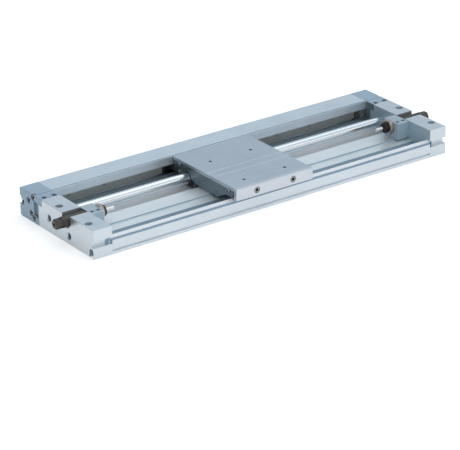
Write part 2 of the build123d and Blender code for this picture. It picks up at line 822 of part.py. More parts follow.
# Table plate: thin edge over the end plates, thick slab between them, front foot and strikers
arm_screw_x = [table_x + side * site for side in (-1, 1) for site in arm_screw_sites]
arm_screw_places = [(x, fy(arm_screw_row)) for x in arm_screw_x]
with BuildPart() as table_plate:
    with BuildSketch(Plane.YZ.offset(table_x)):
        with BuildLine():
            Polyline(
                at(table_front, table_edge_low),
                at(table_front, table_top),
                at(table_rear, table_top),
                at(table_rear, table_edge_low),
                close=True,
            )
        make_face()
    extrude(amount=table_half, both=True)
    chamfer(table_plate.edges().group_by(Axis.Z)[-1], edge_break)
    with BuildSketch(Plane.YZ.offset(table_x)):
        with BuildLine():
            Polyline(
                at(table_front, foot_low),
                at(table_front, table_edge_low),
                at(slab_rear, table_edge_low),
                at(slab_rear, slab_low),
                at(housing_rear + housing_side_gap, slab_low),
                at(housing_rear + housing_side_gap, bridge_low),
                at(housing_front - housing_side_gap, bridge_low),
                at(housing_front - housing_side_gap, slab_low),
                at(absorber_depth + striker_width / 2, slab_low),
                at(absorber_depth + striker_width / 2, absorber_height - striker_height / 2),
                at(absorber_depth - striker_width / 2, absorber_height - striker_height / 2),
                at(absorber_depth - striker_width / 2, slab_low),
                at(foot_depth, slab_low),
                at(foot_depth, foot_low),
                close=True,
            )
        make_face()
    extrude(amount=slab_half, both=True)
    with BuildSketch(Plane.XY.offset(table_top)):
        for line_depth in table_line_depths:
            with Locations((table_x, fy(line_depth))):
                Rectangle(table_length, table_line_width)
    extrude(amount=-table_line_cut, mode=Mode.SUBTRACT)
    with BuildSketch(Plane.XY.offset(table_top)):
        with Locations((table_x + table_half - table_corner_notch / 2, fy(table_rear))):
            Rectangle(table_corner_notch, table_corner_notch)
    extrude(amount=-table_edge_thickness, mode=Mode.SUBTRACT)
    table_hole_middle = fy((table_hole_front + table_hole_rear) / 2)
    with Locations(Location((table_x, table_hole_middle, table_top))):
        with GridLocations(table_hole_pitch_x, table_hole_rear - table_hole_front, 2, 2):
            Hole(table_hole / 2, depth=table_hole_depth)
    with BuildSketch(Plane.XZ.offset(-fy(table_front))):
        with Locations((table_x, side_screw_height)):
            with GridLocations(side_screw_pitch, 1, 2, 1):
                Circle(side_screw_shank / 2 + thread_clearance)
    extrude(amount=-side_screw_thread, mode=Mode.SUBTRACT)
    # Threads for the end plate screws, the arm screws and the pocket of the small magnet
    with BuildSketch(Plane.YZ.offset(table_x - slab_half)):
        with Locations([at(depth, height) for depth, height in slab_screw_places]):
            Circle(plate_screw_shank / 2 + thread_clearance)
    extrude(amount=plate_screw_thread, mode=Mode.SUBTRACT)
    with BuildSketch(Plane.YZ.offset(table_x + slab_half)):
        with Locations([at(depth, height) for depth, height in slab_screw_places]):
            Circle(plate_screw_shank / 2 + thread_clearance)
    extrude(amount=-plate_screw_thread, mode=Mode.SUBTRACT)
    with BuildSketch(Plane.XY.offset(slab_low)):
        with Locations(arm_screw_places):
            Circle(arm_screw_shank / 2 + thread_clearance)
    extrude(amount=arm_screw_thread, mode=Mode.SUBTRACT)
    with BuildSketch(Plane.XY.offset(foot_low)):
        with Locations((table_x, fy(foot_depth / 2))):
            Rectangle(switch_magnet_length, switch_magnet_width)
    extrude(amount=switch_magnet_thickness, mode=Mode.SUBTRACT)
keep(table_plate.part, "table_plate")

with BuildPart() as switch_magnet:
    with BuildSketch(Plane.XY.offset(foot_low)):
        with Locations((table_x, fy(foot_depth / 2))):
            Rectangle(switch_magnet_length, switch_magnet_width)
    extrude(amount=switch_magnet_thickness)
keep(switch_magnet.part, "switch_magnet")

# Side plate on the front of the table
with BuildPart() as side_plate:
    with BuildSketch(Plane.XZ.offset(-fy(table_front))):
        with Locations((table_x, table_top - side_plate_height / 2)):
            Rectangle(table_length, side_plate_height)
    extrude(amount=side_plate_thickness)
    chamfer(side_plate.edges().group_by(Axis.Y)[0], edge_break)
    side_face = Plane.XZ.offset(side_plate_thickness - fy(table_front))
    with BuildSketch(side_face):
        with Locations((table_x, side_screw_height)):
            with GridLocations(side_screw_pitch, 1, 2, 1):
                Circle(side_screw_bore / 2)
    extrude(amount=-side_screw_bore_depth, mode=Mode.SUBTRACT)
    with BuildSketch(side_face):
        with Locations((table_x, side_screw_height)):
            with GridLocations(side_screw_pitch, 1, 2, 1):
                Circle(side_screw_shank / 2 + thread_clearance)
    extrude(amount=-side_plate_thickness, mode=Mode.SUBTRACT)
keep(side_plate.part, "side_plate")

side_plate_screws = []
for x in (table_x - side_screw_pitch / 2, table_x + side_screw_pitch / 2):
    head_y = fy(table_front) - side_plate_thickness + side_screw_sink
    plane = Plane(origin=(x, head_y, side_screw_height), z_dir=(0, 1, 0))
    head_height = side_screw_bore_depth - side_screw_sink
    length = side_plate_thickness - side_screw_bore_depth + side_screw_thread
    side_plate_screws.append(cap_screw(plane, side_screw_head, head_height, side_screw_shank, length))
keep(grouped(side_plate_screws), "side_plate_screws")

# End plate of the slider, cut round the cylinder tube
with BuildPart() as end_plate:
    with BuildSketch(Plane.YZ.offset(-plate_outer_x)):
        with BuildLine():
            Polyline(
                at(end_plate_front, table_edge_low),
                at(end_plate_front, foot_low),
                at(foot_depth, foot_low),
                at(foot_depth + end_plate_rise, end_plate_low),
                at(bed_rear, end_plate_low),
                at(tube_depth - end_plate_cheek_lead, end_plate_cheek_height),
                at(housing_rear + end_plate_arm_setback, end_plate_cheek_height),
                at(housing_rear + end_plate_arm_setback, end_plate_arm_height),
                at(slab_rear, end_plate_arm_height),
                at(slab_rear, table_edge_low),
                close=True,
            )
        make_face()
        with Locations(at(tube_depth, tube_height)):
            Circle(tube_outer / 2 + end_plate_tube_gap, mode=Mode.SUBTRACT)
        with Locations([at(depth, height) for depth, height in plate_screw_places]):
            Circle(plate_screw_shank / 2 + thread_clearance, mode=Mode.SUBTRACT)
    extrude(amount=end_plate_thickness)
keep(end_plate.part.moved(Location((table_x, 0, 0))), "left_end_plate")
keep(mirrored(end_plate.part).moved(Location((table_x, 0, 0))), "right_end_plate")

plate_screws = []
for depth, height in plate_screw_places:
    plane = Plane(origin=(-plate_outer_x - plate_screw_head_height, fy(depth), height), z_dir=(1, 0, 0))
    length = end_plate_thickness + plate_screw_thread
    plate_screws.append(
        cap_screw(plane, plate_screw_head, plate_screw_head_height, plate_screw_shank, length)
    )
keep(grouped(plate_screws).moved(Location((table_x, 0, 0))), "left_plate_screws")
keep(mirrored(grouped(plate_screws)).moved(Location((table_x, 0, 0))), "right_plate_screws")

# Magnet housing between the end plates, bored for the ring stack that rides on the tube
with BuildPart() as magnet_housing:
    with BuildSketch(Plane.YZ.offset(table_x)):
        with Locations(at(tube_depth, (magnet_housing_low + bridge_low) / 2)):
            RectangleRounded(magnet_housing_width, bridge_low - magnet_housing_low, housing_round)
        with Locations(at(tube_depth, tube_height)):
            Circle(outer_ring, mode=Mode.SUBTRACT)
    extrude(amount=slab_half, both=True)
keep(magnet_housing.part, "magnet_housing")

ring_outer = outer_ring - ring_clearance
ring_inner = tube_outer / 2 + magnet_air_gap
stack_start = table_x - stack_length / 2
pitch = magnet_length + yoke_length
yoke_starts = [stack_start + pitch * step for step in range(magnet_count + 1)]
magnet_starts = [start + yoke_length for start in yoke_starts[:-1]]
outer_yokes = [tube_ring(start, yoke_length, ring_inner, ring_outer) for start in yoke_starts]
keep(grouped(outer_yokes), "outer_yokes")
outer_magnets = [tube_ring(start, magnet_length, ring_inner, ring_outer) for start in magnet_starts]
keep(grouped(outer_magnets), "outer_magnets")

wear_inner = tube_outer / 2 + running_clearance
left_wear_ring = tube_ring(table_x - slab_half, wear_ring_length, wear_inner, ring_outer)
keep(left_wear_ring, "left_wear_ring")
right_wear_ring = tube_ring(table_x + slab_half - wear_ring_length, wear_ring_length, wear_inner, ring_outer)
keep(right_wear_ring, "right_wear_ring")

# Arm from the table through the slot to the carriages
carriage_screw_sites = [carriage_spacing / 2 + offset for offset in carriage_screw_offsets]
carriage_screw_x = [table_x + side * site for side in (-1, 1) for site in carriage_screw_sites]
with BuildPart() as carriage_arm:
    with BuildSketch(Plane.YZ.offset(table_x)):
        with BuildLine():
            Polyline(
                at(arm_front, arm_low),
                at(arm_front, slab_low),
                at(arm_rear, slab_low),
                at(arm_rear, arm_high),
                at(carriage_face_depth, arm_high),
                at(carriage_face_depth, arm_low),
                close=True,
            )
        make_face()
    extrude(amount=slab_half, both=True)
    crook = carriage_arm.edges().filter_by(Axis.X).filter_by_position(Axis.Z, arm_high - 0.1, arm_high + 0.1)
    fillet(crook.sort_by(Axis.Y)[0], arm_crook_round)
    with BuildSketch(Plane.XY.offset(arm_low)):
        with Locations(arm_screw_places):
            Circle(arm_screw_head / 2 + arm_screw_gap)
    extrude(amount=arm_screw_head_height, mode=Mode.SUBTRACT)
    with BuildSketch(Plane.XY.offset(arm_low)):
        with Locations(arm_screw_places):
            Circle(arm_screw_shank / 2 + thread_clearance)
    extrude(amount=slab_low - arm_low, mode=Mode.SUBTRACT)
    with BuildSketch(Plane.XZ.offset(-fy(arm_front))):
        with Locations([(x, carriage_screw_height) for x in carriage_screw_x]):
            Circle(arm_screw_head / 2 + arm_screw_gap)
    extrude(amount=-arm_screw_head_height, mode=Mode.SUBTRACT)
    with BuildSketch(Plane.XZ.offset(-fy(arm_front))):
        with Locations([(x, carriage_screw_height) for x in carriage_screw_x]):
            Circle(arm_screw_shank / 2 + thread_clearance)
    extrude(amount=arm_front - carriage_face_depth, mode=Mode.SUBTRACT)
    low_depth, low_height = plate_screw_places[-1]
    for end, inward in ((table_x - slab_half, 1), (table_x + slab_half, -1)):
        with BuildSketch(Plane.YZ.offset(end)):
            with Locations(at(low_depth, low_height)):
                Circle(plate_screw_shank / 2 + thread_clearance)
        extrude(amount=inward * plate_screw_thread, mode=Mode.SUBTRACT)
keep(carriage_arm.part, "carriage_arm")

arm_screws = []
arm_screw_length = slab_low - arm_low - arm_screw_head_height + arm_screw_thread
for x, y in arm_screw_places:
    plane = Plane(origin=(x, y, arm_low), z_dir=(0, 0, 1))
    arm_screws.append(
        cap_screw(plane, arm_screw_head, arm_screw_head_height, arm_screw_shank, arm_screw_length)
    )
keep(grouped(arm_screws), "arm_screws")

carriage_screws = []
carriage_screw_length = carriage_face_depth - arm_front - arm_screw_head_height + carriage_screw_thread
for x in carriage_screw_x:
    plane = Plane(origin=(x, fy(arm_front), carriage_screw_height), z_dir=(0, 1, 0))
    carriage_screws.append(
        cap_screw(plane, arm_screw_head, arm_screw_head_height, arm_screw_shank, carriage_screw_length)
    )
keep(grouped(carriage_screws), "carriage_screws")


# Channel section that straddles the rail, grown by a margin for the seals
def carriage_section(margin):
    pocket = rail_height / 2 + carriage_running_gap
    half = carriage_height / 2 - margin
    foot = wall_front - carriage_wall_gap - margin
    return (
        at(carriage_face_depth + margin, rail_centre - half),
        at(carriage_face_depth + margin, rail_centre + half),
        at(foot, rail_centre + half),
        at(foot, rail_centre + pocket),
        at(rail_face - carriage_running_gap, rail_centre + pocket),
        at(rail_face - carriage_running_gap, rail_centre - pocket),
        at(foot, rail_centre - pocket),
        at(foot, rail_centre - half),
    )


for name, side in (("left", -1), ("right", 1)):
    carriage_x = table_x + side * carriage_spacing / 2
    with BuildPart() as carriage:
        with BuildSketch(Plane.YZ.offset(carriage_x)):
            with BuildLine():
                Polyline(*carriage_section(0), close=True)
            make_face()
        extrude(amount=carriage_length / 2, both=True)
        with BuildSketch(Plane.XZ.offset(-fy(carriage_face_depth))):
            near_screws = [x for x in carriage_screw_x if (x - table_x) * side > 0]
            with Locations([(x, carriage_screw_height) for x in near_screws]):
                Circle(arm_screw_shank / 2 + thread_clearance)
        extrude(amount=-carriage_screw_thread, mode=Mode.SUBTRACT)
    keep(carriage.part, f"{name}_carriage")
    with BuildPart() as carriage_seals:
        for end in (-1, 1):
            with BuildSketch(Plane.YZ.offset(carriage_x + end * carriage_length / 2)):
                with BuildLine():
                    Polyline(*carriage_section(carriage_seal_margin), close=True)
                make_face()
            extrude(amount=end * carriage_seal_length)
    keep(carriage_seals.part, f"{name}_carriage_seals")

# Piston inside the tube, in step with the outer rings
inner_radius = tube_inner / 2
shaft_half = stack_length / 2 + piston_head_length / 2
piston_shaft_piece = tube_ring(table_x - shaft_half, 2 * shaft_half, 0, piston_shaft / 2)
keep(piston_shaft_piece, "piston_shaft")
bore = piston_shaft / 2 + thread_clearance
inner_yokes = [tube_ring(start, yoke_length, bore, inner_radius - inner_yoke_gap) for start in yoke_starts]
keep(grouped(inner_yokes), "inner_yokes")
magnet_outer = inner_radius - inner_magnet_gap
inner_magnets = [tube_ring(start, magnet_length, bore, magnet_outer) for start in magnet_starts]
keep(grouped(inner_magnets), "inner_magnets")

with BuildPart() as piston_head:
    head_start = -stack_length / 2 - piston_head_length
    with BuildSketch(Plane.YZ.offset(head_start)):
        with Locations(at(tube_depth, tube_height)):
            Circle(inner_radius - running_clearance)
    extrude(amount=piston_head_length)
    chamfer(piston_head.edges().group_by(Axis.X)[0], absorber_chamfer)
    with BuildSketch(Plane.YZ.offset(-shaft_half)):
        with Locations(at(tube_depth, tube_height)):
            Circle(piston_shaft / 2 + thread_clearance)
    extrude(amount=piston_head_length, mode=Mode.SUBTRACT)
    seal_start = head_start + piston_seal_offset
    with BuildSketch(Plane.YZ.offset(seal_start - ring_clearance)):
        with Locations(at(tube_depth, tube_height)):
            Circle(inner_radius)
            Circle(inner_radius - piston_seal_depth, mode=Mode.SUBTRACT)
    extrude(amount=piston_seal_width + 2 * ring_clearance, mode=Mode.SUBTRACT)
at_table = Location((table_x, 0, 0))
keep(piston_head.part.moved(at_table), "left_piston_head")
keep(mirrored(piston_head.part).moved(at_table), "right_piston_head")

seal_inner = inner_radius - piston_seal_depth + ring_clearance
piston_seal = tube_ring(seal_start, piston_seal_width, seal_inner, inner_radius - running_clearance)
keep(piston_seal.moved(at_table), "left_piston_seal")
keep(mirrored(piston_seal).moved(at_table), "right_piston_seal")
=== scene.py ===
import json
import math

import bmesh
import bpy
from mathutils import Matrix, Vector

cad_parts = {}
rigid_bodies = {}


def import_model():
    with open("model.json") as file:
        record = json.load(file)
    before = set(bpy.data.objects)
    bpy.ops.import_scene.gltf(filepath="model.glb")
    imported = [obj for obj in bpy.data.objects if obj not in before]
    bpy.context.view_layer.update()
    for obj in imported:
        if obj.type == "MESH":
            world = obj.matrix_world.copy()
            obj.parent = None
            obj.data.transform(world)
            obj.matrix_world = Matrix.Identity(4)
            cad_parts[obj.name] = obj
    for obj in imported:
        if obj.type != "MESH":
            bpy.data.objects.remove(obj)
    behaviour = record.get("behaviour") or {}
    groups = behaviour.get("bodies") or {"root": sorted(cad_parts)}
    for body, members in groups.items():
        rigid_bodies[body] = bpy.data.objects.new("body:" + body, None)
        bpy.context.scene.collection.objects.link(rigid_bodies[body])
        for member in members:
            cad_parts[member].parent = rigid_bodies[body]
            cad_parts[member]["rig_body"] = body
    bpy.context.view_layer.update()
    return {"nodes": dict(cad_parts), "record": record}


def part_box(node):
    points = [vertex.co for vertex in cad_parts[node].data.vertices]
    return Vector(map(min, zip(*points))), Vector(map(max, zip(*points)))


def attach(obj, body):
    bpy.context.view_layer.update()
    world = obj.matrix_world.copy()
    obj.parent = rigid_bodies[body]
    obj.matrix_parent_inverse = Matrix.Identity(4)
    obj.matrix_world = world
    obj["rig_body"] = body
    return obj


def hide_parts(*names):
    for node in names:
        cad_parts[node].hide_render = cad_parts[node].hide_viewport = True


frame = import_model()
nodes = frame["nodes"]
slotOf = {row["node"]: row["material_slot"] for row in frame["record"]["subparts"]}
print("stage: frame loaded,", len(nodes), "nodes")

# The unit's own box, without the shock absorbers that stand out of its ends
blockLow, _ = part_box("left_end_block")
_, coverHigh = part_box("right_end_cover")
unitLength = coverHigh.x - blockLow.x
unitCentre = (blockLow + coverHigh) / 2
mounts = {mount["name"]: mount for mount in frame["record"]["mounts"]}
weldDistance = 1e-6


# The camera stands in front and to the left, a long way off
def makeCamera():
    shot = {
        "azimuth": -35.649,      # degrees, 0 looks along +Y
        "elevation": 24.206,
        "roll": -0.686,
        "distance": 5.896,       # this and the two slides are in unit lengths
        "slideRight": 0.0193,
        "slideUp": 0.1294,
        "focalPixels": 2537.8,
        "imageWidth": 460,
        "sensor": 36.0,
    }
    azimuth = math.radians(shot["azimuth"])
    elevation = math.radians(shot["elevation"])
    roll = math.radians(shot["roll"])
    back = Vector((
        math.sin(azimuth) * math.cos(elevation),
        -math.cos(azimuth) * math.cos(elevation),
        math.sin(elevation),
    ))
    level = Vector((math.cos(azimuth), math.sin(azimuth), 0))
    plumb = back.cross(level)
    right = math.cos(roll) * level + math.sin(roll) * plumb
    up = math.cos(roll) * plumb - math.sin(roll) * level
    offset = shot["distance"] * back - shot["slideRight"] * right - shot["slideUp"] * up
    data = bpy.data.cameras.new("camera")
    data.sensor_width = shot["sensor"]
    data.lens = shot["focalPixels"] * shot["sensor"] / shot["imageWidth"]
    camera = bpy.data.objects.new("camera", data)
    bpy.context.scene.collection.objects.link(camera)
    turned = Matrix((right, up, back)).transposed().to_4x4()
    camera.matrix_world = Matrix.Translation(unitCentre + unitLength * offset) @ turned
    bpy.context.scene.camera = camera


makeCamera()
print("stage: camera")


# The node tree of a material or world, with short calls to add and join nodes
class Shader:
    def __init__(self, owner, output="OutputMaterial"):
        self.owner = owner
        self.owner.use_nodes = True
        self.tree = self.owner.node_tree
        self.tree.nodes.clear()
        self.output = self.add(output)

    def add(self, kind, **values):
        node = self.tree.nodes.new("ShaderNode" + kind)
        for key, value in values.items():
            node.inputs[key].default_value = value
        return node

    def join(self, source, target):
        self.tree.links.new(source, target)

    def noise(self, place, scale, detail, roughness):
        node = self.add("TexNoise", Scale=scale, Detail=detail, Roughness=roughness)
        self.join(place, node.inputs["Vector"])
        return node.outputs["Fac"]

    def remap(self, source, low, high, toLow=0.0, toHigh=1.0):
        spans = {"From Min": low, "From Max": high, "To Min": toLow, "To Max": toHigh}
        node = self.add("MapRange", **spans)
        self.join(source, node.inputs["Value"])
        return node.outputs["Result"]

    def combine(self, operation, first, second):
        node = self.add("Math")
        node.operation = operation
        for socket, value in zip(node.inputs, (first, second)):
            if isinstance(value, float):
                socket.default_value = value
            else:
                self.join(value, socket)
        return node.outputs[0]


# Turns a colour in 0 to 255 values into a shader's linear colour
def linear(colour):
    shares = [min(max(value / 255, 0.0), 1.0) for value in colour]
    return tuple(c / 12.92 if c <= 0.04045 else ((c + 0.055) / 1.055) ** 2.4 for c in shares) + (1.0,)


# Metal with fine lines along one axis, cloudy colour, faint handling marks and uneven gloss
def drawnMetal(name, look):
    grain = {
        "lines": (3.0, 0.6),        # detail and roughness of each noise
        "clouds": (2.0, 0.5),
        "marks": (5.0, 0.7),
        "lineSpan": (0.3, 0.7),     # the part of each noise that is used
        "markSpan": (0.35, 0.65),
        "toneSpan": (0.45, 1.15),
        "lineDepth": 0.00005,
        "refraction": 1.5,
    }
    shader = Shader(bpy.data.materials.new(name))
    place = shader.add("TexCoord").outputs["Object"]
    stretch = shader.add("Mapping", Scale=look["lineScale"])
    shader.join(place, stretch.inputs["Vector"])
    lines = shader.noise(stretch.outputs["Vector"], 1.0, *grain["lines"])
    clouds = shader.noise(place, look["cloudScale"], *grain["clouds"])
    marks = shader.noise(place, look["markScale"], *grain["marks"])
    tone = shader.combine("ADD", lines, shader.combine("MULTIPLY", clouds, look["cloudShare"]))
    tint = shader.add("ValToRGB")
    for stop, position, side in zip(tint.color_ramp.elements, grain["toneSpan"], (-1, 1)):
        stop.position = position
        stop.color = linear([value * (1 + side * look["contrast"]) for value in look["colour"]])
    shader.join(tone, tint.inputs["Fac"])
    gloss, change, share = look["roughness"], look["glossChange"], look["markShare"]
    fine = shader.remap(lines, *grain["lineSpan"], -change, change)
    coarse = shader.remap(marks, *grain["markSpan"], gloss - share, gloss + share)
    bump = shader.add("Bump", Strength=look["bump"], Distance=grain["lineDepth"])
    shader.join(lines, bump.inputs["Height"])
    surface = shader.add("BsdfPrincipled", Metallic=look["metal"], IOR=grain["refraction"])
    shader.join(tint.outputs["Color"], surface.inputs["Base Color"])
    shader.join(shader.combine("ADD", fine, coarse), surface.inputs["Roughness"])
    shader.join(bump.outputs["Normal"], surface.inputs["Normal"])
    shader.join(surface.outputs["BSDF"], shader.output.inputs["Surface"])
    return shader.owner


# How the fine lines lie, as the noise's scale along each axis
alongX = (18.0, 2600.0, 2600.0)      # lines run along the stroke
alongY = (2200.0, 25.0, 2200.0)      # lines run from front to rear
allRound = (1500.0, 1500.0, 1500.0)  # fine blasted grain


def metalLook(colour, roughness, metal, lineScale, **changes):
    look = dict(
        colour=colour, roughness=roughness, metal=metal, lineScale=lineScale,
        contrast=0.035, glossChange=0.04, bump=0.12,
        cloudScale=22.0, cloudShare=0.6, markScale=60.0, markShare=0.03,
    )
    look.update(changes)
    return look


# One finish for each slot of the record: colour, roughness, share of metal, and the lines
finishes = {
    "profile_aluminium": metalLook((227, 234, 240), 0.40, 0.60, alongX),
    "cover_aluminium": metalLook((215, 225, 233), 0.42, 0.70, alongX),
    "block_aluminium": metalLook((219, 226, 231), 0.36, 0.92, alongY, cloudScale=14.0),
    "bracket_aluminium": metalLook((192, 206, 213), 0.36, 0.88, alongY),
    "end_cover_grey": metalLook((168, 189, 204), 0.46, 0.40, allRound, contrast=0.05, bump=0.25),
    "table_aluminium": metalLook((199, 208, 217), 0.35, 0.88, alongX, cloudScale=16.0),
    "side_plate_aluminium": metalLook((217, 222, 228), 0.34, 0.85, alongX),
    "end_plate_grey": metalLook((126, 139, 146), 0.30, 0.80, alongY),
    "housing_aluminium": metalLook((96, 104, 110), 0.45, 0.5, alongX),
    "tube_steel": metalLook((234, 238, 241), 0.17, 1.0, alongX, contrast=0.02, bump=0.05),
    "rod_steel": metalLook((235, 236, 236), 0.12, 1.0, alongX, contrast=0.02, bump=0.05),
    "nut_steel": metalLook((184, 176, 168), 0.30, 0.95, allRound, contrast=0.05, bump=0.03),
    "blackened_steel": metalLook((84, 80, 74), 0.32, 0.85, allRound, contrast=0.15),
    "rail_steel": metalLook((210, 216, 212), 0.50, 0.25, alongX),
    "screw_steel": metalLook((168, 168, 166), 0.28, 0.95, allRound, contrast=0.06),
    "magnet_alloy": metalLook((120, 122, 126), 0.4, 0.8, allRound),
    "yoke_iron": metalLook((110, 110, 112), 0.4, 0.8, allRound),
    "piston_aluminium": metalLook((190, 194, 198), 0.35, 0.9, alongX),
    "black_rubber": metalLook((44, 44, 43), 0.7, 0.0, allRound, contrast=0.12),
    "black_plastic": metalLook((38, 39, 41), 0.55, 0.0, allRound, contrast=0.12),
}
materials = {slot: drawnMetal(slot, look) for slot, look in finishes.items()}
# Mostly painted light and shade: lighter or darker copies of a finish for single faces of a piece, in the
# order in which the piece carries them after its own finish
paintedLightLooks = {
    "slot": metalLook((176, 196, 208), 0.55, 0.5, alongX, bump=0.2),    # painted shade in slots and port holes
    "inner": metalLook((188, 207, 216), 0.45, 0.5, alongY),             # painted shade on the end pieces' inner faces, painted light on the brackets' fronts
    "switch": metalLook((212, 226, 236), 0.5, 0.4, alongX, bump=0.1),   # painted shade inside the switch slot, lighter than in the other slots
    "cover": metalLook((118, 134, 140), 0.46, 0.5, allRound),           # painted shade on the rear ridge, the end covers' inside and the top cover's line
    "stop": metalLook((128, 127, 121), 0.6, 0.1, allRound),             # the rail's stops
    "bore": metalLook((198, 208, 214), 0.45, 0.4, allRound, bump=0.05),  # painted light inside the mounting holes, duller than the block
    "bright": metalLook((246, 251, 255), 0.42, 0.08, alongX),           # painted highlight on the wall top, painted light on the trough floor in the tube's shade
    "bed": metalLook((242, 248, 252), 0.40, 0.6, alongX),               # painted light on the flats under the table
}
paintedLightMetals = [drawnMetal(name + "_shade", look) for name, look in paintedLightLooks.items()]
paintedLightIndex = {name: index for index, name in enumerate(paintedLightLooks, start=1)}
# Painted shade inside the screws' hex sockets; the absorbers' noses take this darker finish too
socketShade = drawnMetal("socket_shade", metalLook((58, 50, 46), 0.45, 0.7, allRound, contrast=0.15))
# The carriages show dark, partly as painted shade under the table, and the rail's screws pale, so that they
# match what stands beside them
slotOf.update(left_carriage="blackened_steel", right_carriage="blackened_steel", rail_screws="rail_steel")
for name, node in nodes.items():
    node.data.materials.clear()
    node.data.materials.append(materials[slotOf[name]])
print("stage: materials")


# Attaches a piece to the body that carries it and hides the CAD nodes it stands for
def finishPiece(piece, body, replaced):
    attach(piece, body)
    if replaced:
        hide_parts(*replaced)


def newPiece(name, mesh):
    piece = bpy.data.objects.new(name, mesh)
    bpy.context.scene.collection.objects.link(piece)
    return piece


# Welds a CAD node's loose triangles into a mesh of its own, smooth where it is round
def weldedCopy(name):
    weld = {"flatAngle": 0.5, "sharpAngle": 32.0}   # degrees
    work = bmesh.new()
    work.from_mesh(nodes[name].data)
    bmesh.ops.remove_doubles(work, verts=work.verts, dist=weldDistance)
    flatAngle = math.radians(weld["flatAngle"])
    bmesh.ops.dissolve_limit(work, angle_limit=flatAngle, verts=work.verts, edges=work.edges)
    sharpAngle = math.radians(weld["sharpAngle"])
    for edge in work.edges:
        edge.smooth = len(edge.link_faces) == 2 and edge.calc_face_angle(0) < sharpAngle
    for face in work.faces:
        face.smooth = True
    return work


# Ends the work on a shape and gives it as a mesh with its finishes
def meshOf(name, work, metals=()):
    mesh = bpy.data.meshes.new(name)
    work.to_mesh(mesh)
    work.free()
    for metal in metals:
        mesh.materials.append(metal)
    return mesh


# One CAD node with eased edges, its faces given painted light and shade and shaped by the rules of its kind
def easeEdges(stem, name, width):
    easing = {"segments": 2, "angle": 32.0}
    work = weldedCopy(name)
    for rule in shapeRules.get(stem, []):
        rule(work)
    mesh = meshOf(name + "_eased", work, [materials[slotOf[name]], *paintedLightMetals])
    piece = newPiece(name + "_eased", mesh)
    if width > 0:
        bevel = piece.modifiers.new("eased", "BEVEL")
        bevel.width = width
        bevel.segments = easing["segments"]
        bevel.limit_method = "ANGLE"
        bevel.angle_limit = math.radians(easing["angle"])
        bevel.use_clamp_overlap = True
        bevel.harden_normals = True
    finishPiece(piece, nodes[name]["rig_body"], [name])


# Depths and heights in the rules are millimetres from the unit's front face and underside
def depthOf(point):
    return (point.y - blockLow.y) * 1000


def heightOf(point):
    return point.z * 1000


facingShare = 0.9   # how straight along an axis a face has to look


# Gives the faces whose middle lies in one band of depth and height one of the copies above, mostly painted
# light or shade
def shadeBand(shade, depth, height, reach=unitLength):
    def rule(work):
        for face in work.faces:
            middle = face.calc_center_median()
            inBand = depth[0] < depthOf(middle) < depth[1] and height[0] < heightOf(middle) < height[1]
            if inBand and abs(middle.x) < reach:
                face.material_index = paintedLightIndex[shade]
    return rule


# Painted shade on the faces of the end pieces that look inwards along the unit
def shadeInner(shade):
    def rule(work):
        for face in work.faces:
            middle = face.calc_center_median()
            if face.normal.x * middle.x < -facingShare * abs(middle.x):
                face.material_index = paintedLightIndex[shade]
    return rule


# Painted light on the faces that look to the front
def shadeFront(shade):
    def rule(work):
        for face in work.faces:
            if face.normal.y < -facingShare:
                face.material_index = paintedLightIndex[shade]
    return rule


# Painted shade on the wall of a hole that runs along the unit
def shadeHole(shade, depth, height, radius):
    def rule(work):
        for face in work.faces:
            if all(math.hypot(depthOf(v.co) - depth, heightOf(v.co) - height) < radius for v in face.verts):
                face.material_index = paintedLightIndex[shade]
    return rule


# Painted light on the walls of the upright mounting holes, at the places of the record's mount
def shadeBores(shade, radius):
    pattern = mounts["body_holes"]
    holeX = pattern["dims"]["spacing_x_mm"] / 2000
    stepY = pattern["dims"]["spacing_y_mm"] / 2000
    rowY = [pattern["pos_m"][1] - stepY, pattern["pos_m"][1] + stepY]

    def rule(work):
        for face in work.faces:
            for y in rowY:
                if all(math.hypot(abs(v.co.x) - holeX, v.co.y - y) < radius for v in face.verts):
                    face.material_index = paintedLightIndex[shade]
    return rule


# Moves an edge that runs along the stroke up or down
def slideEdge(depth, height, shift, near=0.05):
    def rule(work):
        for vertex in work.verts:
            if abs(depthOf(vertex.co) - depth) < near and abs(heightOf(vertex.co) - height) < near:
                vertex.co.z += shift / 1000
    return rule


# The pocket at the end of the switch slot lies nearer to the unit's middle than this, in metres
pocketReach = 0.2835

